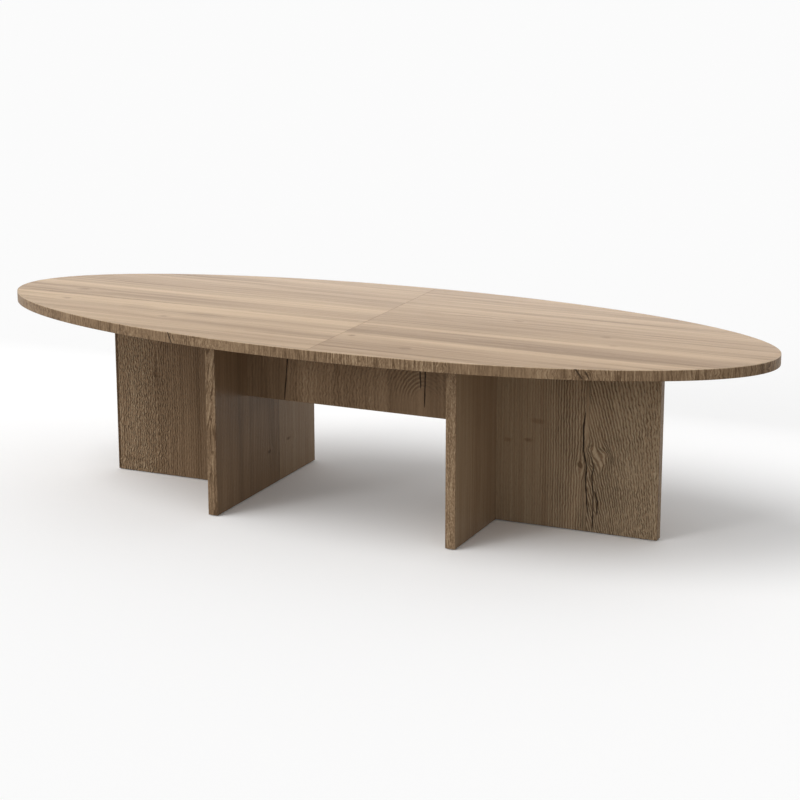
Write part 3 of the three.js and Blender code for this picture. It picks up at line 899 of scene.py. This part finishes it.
def panel_decor(name):
    """Oak with its grain upright, smooth in places and deeply brushed in others."""
    figure = PANEL_FIGURES[name]
    seed = figure.seed
    surface = Surface(f"oak_{name}")
    x, y, z = surface.place()
    low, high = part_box(name)
    if "cross" in name:
        across, other_face = y, x.below((low.x + high.x) / 2)
    else:
        across, other_face = x, y.above((low.y + high.y) / 2)
    across = across + other_face * BACK_SHIFT[0]
    along = z + other_face * BACK_SHIFT[1]
    wander = surface.shift(across, along, seed, PANEL_WANDER)
    ringed = surface.profile(across + wander, figure.ringed)
    waved = surface.profile(across + wander, figure.waved)
    ripple = surface.spread(across, along, seed, PANEL_RIPPLE) - MEAN
    ripple = ripple * (waved * figure.breaking + PANEL_RIPPLE_LEAST)
    bent = pushed_aside(surface, across, along, figure) + wander + ripple
    tone = streaks(surface, bent, along, seed, PANEL_STREAKS)
    patchy = surface.patches(across, along, seed, PANEL_PATCHES).scaled(*PANEL_PATCHY)
    beaded = surface.spread(bent, along, seed, PANEL_BEADS).scaled(*PANEL_BEADED)
    dashes = surface.patches(bent, along, seed, PANEL_DASHES)
    strength = ringed * patchy * beaded + waved * dashes
    crests = rings(surface, bent, along, figure) * strength
    specks = (surface.spread(bent, along, seed, PANEL_SPECKS) - MEAN) * waved
    # Crests paler and hollows darker: partly the grain's figure, partly painted light and shade
    # of the relief
    tone = tone + crests * CREST_TONE_AND_PAINTED_SHADING + specks * SPECK_TONE_AND_PAINTED_SHADING
    tone = marked(surface, tone, across, along, figure)
    vessels = pores(surface, bent, along, seed)
    colour = surface.ramp(tone, PANEL_SHADES)
    colour = surface.blend(vessels * PANEL_PORES, colour, PANEL_OAK_DARK_PAINTED_SHADE)
    relief = crests * CREST_RELIEF + specks * SPECK_RELIEF
    relief = relief + (tone - vessels) * PANEL_FINE_RELIEF
    for split in figure.splits:
        gap = mark(surface, across, along, split, HARD_RIM)
        colour = surface.blend(gap, colour, OAK_SPLIT)
        relief = relief - gap
    sawn = abs(surface.normal()[2]).above(SAWN_TILT)
    colour = surface.blend(sawn, colour, chipboard(surface, x, y, z))
    surface.bump(relief, PANEL_DEPTH)
    return surface.finish(colour, vessels.scaled(*PANEL_ROUGHNESS), specular=PANEL_SPECULAR)


def edge_decor(name, edge):
    """Edge band: brushed oak whose grain stands upright, leaning or curling in places."""
    seed = edge.seed
    surface = Surface(name)
    x, y, z = surface.place()
    lean = (z - EDGE_MIDDLE).higher(0.0) * edge.lean
    curled = surface.patches(x, y, seed, EDGE_CURLS).scaled(edge.curl, EDGE_BEND_LEAST)
    bend = (surface.upright(x, y, z, seed, EDGE_BENDS) - MEAN) * curled
    aside = pushed_aside(surface, x, z, edge) - lean + bend
    inward = y + bend
    fine = Noise(edge.fineness, EDGE_LINE_BREAKS, detail=EDGE_LINE_DETAIL)
    lines = surface.upright(aside, inward, z, seed, fine)
    contours = surface.upright(aside, inward, z, seed, EDGE_GROWTH)
    growth = surface.step(abs(contours - MEAN), *EDGE_GROWTH_STEP) * edge.growth
    clouds = (surface.upright(x, y, z, seed, EDGE_CLOUDS) - MEAN) * EDGE_CLOUDS.swing
    strong = surface.patches(x, y, seed, EDGE_STRONG).scaled(*EDGE_STRENGTH)
    specks = (surface.upright(x, y, z, seed, EDGE_SPECKS) - MEAN) * edge.specks
    strength = surface.profile(x, edge.strengths)
    relief = ((lines - MEAN) * strong + specks) * strength
    tone = relief * edge.contrast + clouds + edge.shade
    # Painted light and shade: the band is paler upwards and darker downwards
    tone = tone + (z - EDGE_MIDDLE) * edge.painted_light_upwards - growth * strength
    # Painted highlight along the upper arris
    tone = tone + surface.step(z, *ARRIS_HIGHLIGHT_STEP) * edge.painted_arris_highlight
    for knot in edge.knots:
        tone = tone - spot(surface, x, z, knot) * knot.strength
    vessels = pores(surface, aside + y, z, seed)
    colour = surface.ramp(tone, EDGE_SHADES)
    colour = surface.blend(vessels * EDGE_PORES, colour, EDGE_OAK_DARK_PAINTED_SHADE)
    for split in edge.splits:
        gap = mark(surface, x, z, split, HARD_RIM) * y.below(0.0)
        colour = surface.blend(gap * split.strength, colour, OAK_SPLIT)
    surface.bump(relief - vessels * EDGE_PORE_DEPTH, EDGE_DEPTH)
    return surface.finish(colour, lines.scaled(*EDGE_ROUGHNESS), specular=EDGE_SPECULAR)


def metal(name, colour, roughness):
    """Plated or cast metal with a cloudy tint."""
    surface = Surface(name)
    clouds = surface.grit(*surface.place(), METAL_CLOUDS, METAL_DETAIL)
    dull = tuple(METAL_DULL * part for part in colour)
    tint = surface.blend(clouds, dull, colour)
    return surface.finish(tint, clouds.scaled(*roughness), metallic=1.0)


def plastic(name, colour):
    """Moulded plastic with a fine grit."""
    surface = Surface(name)
    grit = surface.grit(*surface.place(), PLASTIC_GRIT)
    paler = tuple(PLASTIC_PALER * part for part in colour)
    surface.bump(grit, PLASTIC_DEPTH)
    tint = surface.blend(grit, colour, paler)
    return surface.finish(tint, grit.scaled(*PLASTIC_ROUGHNESS))


def beech():
    """Pale dowel wood with short flecks."""
    surface = Surface("beech")
    x, y, z = surface.place()
    along, across = BEECH_FLECKS
    flecks = surface.noise(x * along, y * across, z * across)
    colour = surface.blend(flecks, BEECH_DARK, BEECH_LIGHT)
    return surface.finish(colour, flecks.scaled(*BEECH_ROUGHNESS))


# Mesh helpers


def new_piece(name, mesh_builder, material, smooth_below=0.0):
    """A linked object made from a bmesh, faces outwards, shaded smooth below an angle."""
    bmesh.ops.recalc_face_normals(mesh_builder, faces=mesh_builder.faces)
    mesh = bpy.data.meshes.new(name)
    mesh_builder.to_mesh(mesh)
    mesh_builder.free()
    if smooth_below:
        mesh.shade_smooth()
        mesh.set_sharp_from_angle(angle=smooth_below)
    mesh.materials.append(material)
    piece = bpy.data.objects.new(name, mesh)
    scene.collection.objects.link(piece)
    return piece


def skin(mesh, sections):
    """Faces between rings of equal count, capped at both ends."""
    loops = [[mesh.verts.new(point) for point in section] for section in sections]
    count = len(loops[0])
    for one, two in zip(loops, loops[1:]):
        for k in range(count):
            following = (k + 1) % count
            mesh.faces.new((one[k], one[following], two[following], two[k]))
    mesh.faces.new(loops[0])
    mesh.faces.new(loops[-1])


def turned(mesh, profile, sides, ripple=None):
    """A solid of revolution about Z from (radius, height) points, its radius rippled if asked."""
    sections = []
    for radius, height in profile:
        section = []
        for k in range(sides):
            angle = TURN * k / sides
            reach = radius - (ripple(angle, radius) if ripple else 0.0)
            section.append(Vector((reach * math.cos(angle), reach * math.sin(angle), height)))
        sections.append(section)
    skin(mesh, sections)


def rounded_corner(centre, radius, start):
    """Points of a quarter circle from an angle, counterclockwise."""
    points = []
    for k in range(ROUND_STEPS + 1):
        angle = start + math.pi / 2 * k / ROUND_STEPS
        side, up = radius * math.cos(angle), radius * math.sin(angle)
        points.append((centre[0] + side, centre[1] + up))
    return points


def dome(radius, rise, start=0.0):
    """(radius, height) points of a flat dome that starts at a height."""
    points = []
    for k in range(1, ROUND_STEPS + 1):
        angle = math.pi / 2 * k / (ROUND_STEPS + 1)
        points.append((radius * math.cos(angle), start + rise * math.sin(angle)))
    return points


# Pieces


def make_rim_band(side, material):
    """The curved band on one half of the top, with its outer edges eased."""
    section = [(-BAND - GLUE_REACH, 0.0)]
    section += rounded_corner((-BAND_ROUND, BAND_ROUND), BAND_ROUND, -math.pi / 2)
    section += [(0.0, BAND_FLAT_START), (0.0, BOARD - BAND_FLAT_START)]
    section += rounded_corner((-BAND_ROUND, BOARD - BAND_ROUND), BAND_ROUND, 0.0)
    section.append((-BAND - GLUE_REACH, BOARD))
    end = math.acos(GLUE_LINE / HALF_LENGTH)
    sections = []
    for k in range(RIM_STEPS + 1):
        angle = end * (2 * k / RIM_STEPS - 1)
        cosine, sine = math.cos(angle), math.sin(angle)
        edge = Vector((HALF_LENGTH * cosine, HALF_WIDTH * sine, UNDERSIDE))
        outward = Vector((HALF_WIDTH * cosine, HALF_LENGTH * sine, 0.0)).normalized()
        ring = [edge + outward * out + Vector((0.0, 0.0, up)) for out, up in section]
        sections.append([Vector((SIDES[side] * p.x, p.y, p.z)) for p in ring])
    mesh = bmesh.new()
    skin(mesh, sections)
    piece = new_piece(f"top_{side}_rim", mesh, material, ROUND_SMOOTHING)
    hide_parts(f"top_{side}_rim_band")
    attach(piece, "table")


def make_glued_band(name, material):
    """A straight edge band drawn against its board, and a seam band against its twin too."""
    stem = name.rsplit("_", 2)[0]
    board = next(node for node in (stem, f"{stem}_panel", f"{stem}_board") if node in nodes)
    low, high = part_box(name)
    board_low, board_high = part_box(board)
    thin = min(range(3), key=lambda axis: high[axis] - low[axis])
    inward = 1 if board_low[thin] + board_high[thin] > low[thin] + high[thin] else -1
    inner = high[thin] if inward > 0 else low[thin]
    mesh = bmesh.new()
    mesh.from_mesh(nodes[name].data)
    bmesh.ops.remove_doubles(mesh, verts=mesh.verts, dist=GLUE_LINE / 2)
    for vertex in mesh.verts:
        if abs(vertex.co[thin] - inner) < GLUE_REACH:
            vertex.co[thin] += inward * GLUE_REACH
        elif "seam" in name:
            vertex.co[thin] -= inward * (SEAM_HALF_GAP - GLUE_LINE)
    piece = new_piece(name.replace("_band", "_edge"), mesh, material)
    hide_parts(name)
    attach(piece, "table")


def threaded_stud(mesh, low, high):
    """A closed rod about Z whose surface is one unbroken thread."""
    turns = int((high - low) / THREAD_PITCH) - 1
    count = turns * THREAD_SIDES
    root, crest = [], []
    for k in range(count + THREAD_SIDES + 1):
        angle = TURN * k / THREAD_SIDES
        height = low + THREAD_PITCH * k / THREAD_SIDES
        flat = Vector((math.cos(angle), math.sin(angle), 0.0))
        up = Vector((0.0, 0.0, height))
        root.append(mesh.verts.new(flat * (STUD_RADIUS - THREAD_DEPTH) + up))
        if k <= count:
            up = Vector((0.0, 0.0, height + THREAD_PITCH / 2))
            crest.append(mesh.verts.new(flat * STUD_RADIUS + up))
    for k in range(count):
        mesh.faces.new((root[k], root[k + 1], crest[k + 1], crest[k]))
        over = k + THREAD_SIDES
        mesh.faces.new((crest[k], crest[k + 1], root[over + 1], root[over]))
    mesh.faces.new([*root[:THREAD_SIDES + 1], crest[0]])
    mesh.faces.new([*root[count:], crest[count]])


def make_foot(name, pad_material, stud_material):
    """A levelling foot: a scalloped pad on the floor and the threaded stud above it."""
    low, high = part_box(name)
    centre = (low + high) / 2
    radius = (high.y - low.y) / 2

    def scallops(angle, reach):
        ripple = (1 - math.cos(PAD_SCALLOPS * angle)) / 2
        return PAD_SCALLOP_DEPTH * ripple * (reach > PAD_SCALLOP_START * radius)

    profile = [(radius - inwards * MM, height * MM) for inwards, height in PAD_RIM]
    profile += [
        (radius - PAD_SHOULDER, PAD_HEIGHT - PAD_HUB_HEIGHT),
        (STUD_RADIUS + PAD_HUB_FOOT, PAD_HEIGHT - PAD_HUB_HEIGHT),
        (STUD_RADIUS + PAD_HUB_TOP, PAD_HEIGHT),
    ]
    place = Matrix.Translation((centre.x, centre.y, low.z))
    mesh = bmesh.new()
    turned(mesh, profile, PAD_SCALLOPS * PAD_SCALLOP_SIDES, scallops)
    mesh.transform(place)
    pad = new_piece(f"{name}_pad", mesh, pad_material, TURNED_SMOOTHING)
    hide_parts(name)
    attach(pad, name)
    mesh = bmesh.new()
    threaded_stud(mesh, PAD_HEIGHT - STUD_SINK, high.z - low.z)
    mesh.transform(place)
    stud = new_piece(f"{name}_stud", mesh, stud_material, THREAD_SMOOTHING)
    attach(stud, name)


def bracket_corner(name):
    """A bracket's inside corner and the two directions in which its legs run."""
    low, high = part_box(name)
    middle = (low + high) / 2
    inward_x = Vector((-1.0 if middle.x > 0 else 1.0, 0.0, 0.0))
    corner_x = high.x if middle.x > 0 else low.x
    if "rail" in name:
        inward_y = Vector((0.0, -1.0 if middle.y > 0 else 1.0, 0.0))
        corner_y = high.y if middle.y > 0 else low.y
        return Vector((corner_x, corner_y, middle.z)), inward_x, inward_y
    down = Vector((0.0, 0.0, -1.0))
    if "fin" in name:
        return Vector((middle.x, low.y, high.z)), Vector((0.0, 1.0, 0.0)), down
    return Vector((corner_x, middle.y, high.z)), inward_x, down


def screw_mesh():
    """A pan head screw along -Z with a cross recess, its head's underside at z = 0."""
    head = [(SCREW_SHANK_RADIUS, 0.0), (SCREW_HEAD_RADIUS, 0.0)]
    head += dome(SCREW_HEAD_RADIUS, SCREW_HEAD_HEIGHT)
    shank = [
        (SCREW_TIP_RADIUS, -SCREW_LENGTH), (SCREW_SHANK_RADIUS, -SCREW_LENGTH + SCREW_TAPER)
    ]
    mesh = bmesh.new()
    turned(mesh, shank + head, SCREW_SIDES)
    blank = new_piece("screw_blank", mesh, bpy.data.materials[0])
    slot = (CROSS_RECESS_LENGTH, CROSS_RECESS_WIDTH)
    for index, size in enumerate((slot, slot[::-1])):
        mesh = bmesh.new()
        bmesh.ops.create_cube(mesh, size=1.0)
        mesh.transform(Matrix.Diagonal((*size, 2 * CROSS_RECESS_DEPTH, 1.0)))
        mesh.transform(Matrix.Translation((0.0, 0.0, SCREW_HEAD_HEIGHT)))
        cutter = new_piece(f"screw_cutter_{index}", mesh, bpy.data.materials[0])
        cut = blank.modifiers.new(cutter.name, "BOOLEAN")
        cut.operation = "DIFFERENCE"
        cut.object = cutter
    depsgraph = bpy.context.evaluated_depsgraph_get()
    shaped = bpy.data.meshes.new_from_object(blank.evaluated_get(depsgraph))
    for name in ("screw_blank", "screw_cutter_0", "screw_cutter_1"):
        bpy.data.objects.remove(bpy.data.objects[name])
    return shaped


def make_screws(bracket, shape, material):
    """The four screws of one bracket, two in each leg."""
    corner, first, second = bracket_corner(bracket)
    sideways = first.cross(second)
    mesh = bmesh.new()
    for leg, face in ((first, second), (second, first)):
        for spread in (-BRACKET_HOLE_SPREAD, BRACKET_HOLE_SPREAD):
            seat = corner + leg * BRACKET_HOLE_REACH + face * BRACKET_THICKNESS
            seat = seat + sideways * spread
            turn = face.to_track_quat("Z", "Y").to_matrix().to_4x4()
            single = bmesh.new()
            single.from_mesh(shape)
            single.transform(Matrix.Translation(seat) @ turn)
            placed = bpy.data.meshes.new("placed_screw")
            single.to_mesh(placed)
            single.free()
            mesh.from_mesh(placed)
            bpy.data.meshes.remove(placed)
    piece = new_piece(f"{bracket}_screws", mesh, material, ROUND_SMOOTHING)
    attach(piece, "table")


def make_cap(cam, material):
    """A shallow domed cap over one cam on the fin's back face."""
    low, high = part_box(cam)
    middle = (low + high) / 2
    profile = [(CAP_RADIUS - CAP_UNDERCUT, 0.0), (CAP_RADIUS, CAP_LIP)]
    profile += dome(CAP_RADIUS, CAP_HEIGHT - CAP_SHOULDER, CAP_SHOULDER)
    mesh = bmesh.new()
    turned(mesh, profile, CAP_SIDES)
    mesh.transform(Matrix.Rotation(-math.pi / 2, 4, "X"))
    mesh.transform(Matrix.Translation((middle.x, FIN_BACK_Y, middle.z)))
    piece = new_piece(f"{cam}_cap", mesh, material, TURNED_SMOOTHING)
    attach(piece, "table")


def make_camera():
    """The camera that took the photo, without its lens shift."""
    data = bpy.data.cameras.new("photo_camera")
    data.lens = CAMERA_LENS
    data.sensor_width = SENSOR_WIDTH
    camera = bpy.data.objects.new("photo_camera", data)
    level = math.cos(CAMERA_PITCH)
    forward = Vector((
        -math.sin(CAMERA_AZIMUTH) * level,
        math.cos(CAMERA_AZIMUTH) * level,
        -math.sin(CAMERA_PITCH),
    ))
    camera.location = CAMERA_PLACE
    camera.rotation_euler = forward.to_track_quat("-Z", "Y").to_euler()
    scene.collection.objects.link(camera)
    scene.camera = camera


def dress(node, material):
    """Gives a node one material in place of its own."""
    node.data.materials.clear()
    node.data.materials.append(material)


def make_pieces():
    """Dresses the nodes that show and adds the finer pieces."""
    zinc = metal("zinc_plated_steel", ZINC, ZINC_ROUGHNESS)
    cast = metal("cast_zinc", CAST_ZINC, CAST_ROUGHNESS)
    black = plastic("black_plastic", BLACK_PLASTIC)
    brown = plastic("brown_plastic", BROWN_PLASTIC)
    dowel_wood = beech()
    rim = edge_decor("oak_rim", RIM_EDGE)
    leaning = edge_decor("oak_edge_leaning", LEANING_EDGE)
    upright = edge_decor("oak_edge_upright", UPRIGHT_EDGE)
    for name in PANEL_FIGURES:
        dress(nodes[name], panel_decor(name))
    for name, node in nodes.items():
        side = "left" if "left" in name else "right"
        if name.endswith("board"):
            dress(node, top_decor(f"oak_{name}", side))
        elif name.endswith("rim_band"):
            make_rim_band(side, rim)
        elif name.endswith("seam_band"):
            make_glued_band(name, top_decor(f"oak_{name}", side))
        elif name.endswith("band"):
            make_glued_band(name, leaning if name == "left_cross_front_band" else upright)
        elif name.endswith("dowel"):
            dress(node, dowel_wood)
        elif name.endswith("_cam"):
            dress(node, cast)
        elif name.endswith(("bolt", "nut", "half_moon", "bracket", "insert")):
            dress(node, zinc)
    for name in FEET:
        make_foot(name, black, zinc)
    shape = screw_mesh()
    for name in sorted(nodes):
        if name.endswith("bracket"):
            make_screws(name, shape, zinc)
        elif name.endswith("_cam"):
            make_cap(name, brown)


# Stage


def seen_white(tree, seen, unseen):
    """One colour for the rays that see a surface and another for the light it sends on."""
    path = tree.nodes.new("ShaderNodeLightPath")
    sight = path.outputs["Is Camera Ray"]
    for kind in ("Is Glossy Ray", "Is Transmission Ray"):
        either = tree.nodes.new("ShaderNodeMath")
        either.operation = "MAXIMUM"
        tree.links.new(sight, either.inputs[0])
        tree.links.new(path.outputs[kind], either.inputs[1])
        sight = either.outputs[0]
    mix = tree.nodes.new("ShaderNodeMix")
    mix.data_type = "RGBA"
    tree.links.new(sight, mix.inputs[0])
    mix.inputs[MIX_FIRST].default_value = (*unseen, 1.0)
    mix.inputs[MIX_SECOND].default_value = (*seen, 1.0)
    return mix.outputs[MIX_RESULT]


def make_floor():
    """A white floor that sends on less light than it shows."""
    surface = Surface("studio_floor")
    colour = seen_white(surface.material.node_tree, FLOOR_WHITE, FLOOR_BOUNCE)
    material = surface.finish(colour, FLOOR_ROUGHNESS, specular=0.0)
    mesh = bmesh.new()
    bmesh.ops.create_grid(
        mesh, x_segments=FLOOR_SEGMENTS, y_segments=FLOOR_SEGMENTS, size=FLOOR_REACH
    )
    floor = new_piece("studio_floor", mesh, material)


def add_light(name, kind, place, aim, energy):
    """A light at a place, turned to its aim and hidden from the camera."""
    lamp = bpy.data.lights.new(name, kind)
    lamp.energy = energy
    light = bpy.data.objects.new(name, lamp)
    light.location = place
    backwards = Vector(place) - Vector(aim)
    light.rotation_euler = backwards.to_track_quat("Z", "Y").to_euler()
    light.visible_camera = False
    scene.collection.objects.link(light)
    return lamp


def make_lights():
    """A white surround, a broad key light, a low fill and a sheen along the top."""
    world = bpy.data.worlds.new("studio")
    world.use_nodes = True
    scene.world = world
    tree = world.node_tree
    grey = (WORLD_LIGHT, WORLD_LIGHT, WORLD_LIGHT)
    colour = seen_white(tree, WORLD_WHITE, grey)
    tree.links.new(colour, tree.nodes["Background"].inputs["Color"])
    key = add_light("key_light", "SUN", KEY_FROM, ORIGIN, KEY_LIGHT)
    key.angle = KEY_SPREAD
    fill = add_light("fill_light", "SUN", FILL_FROM, ORIGIN, FILL_LIGHT)
    fill.angle = FILL_SPREAD
    level = (SHEEN_PLACE[0], 0.0, SHEEN_PLACE[2])
    sheen = add_light("sheen_light", "AREA", SHEEN_PLACE, level, SHEEN_POWER)
    sheen.shape = "RECTANGLE"
    sheen.size, sheen.size_y = SHEEN_SIZE


scene.view_settings.view_transform = "Standard"
make_camera()
make_pieces()
make_floor()
make_lights()
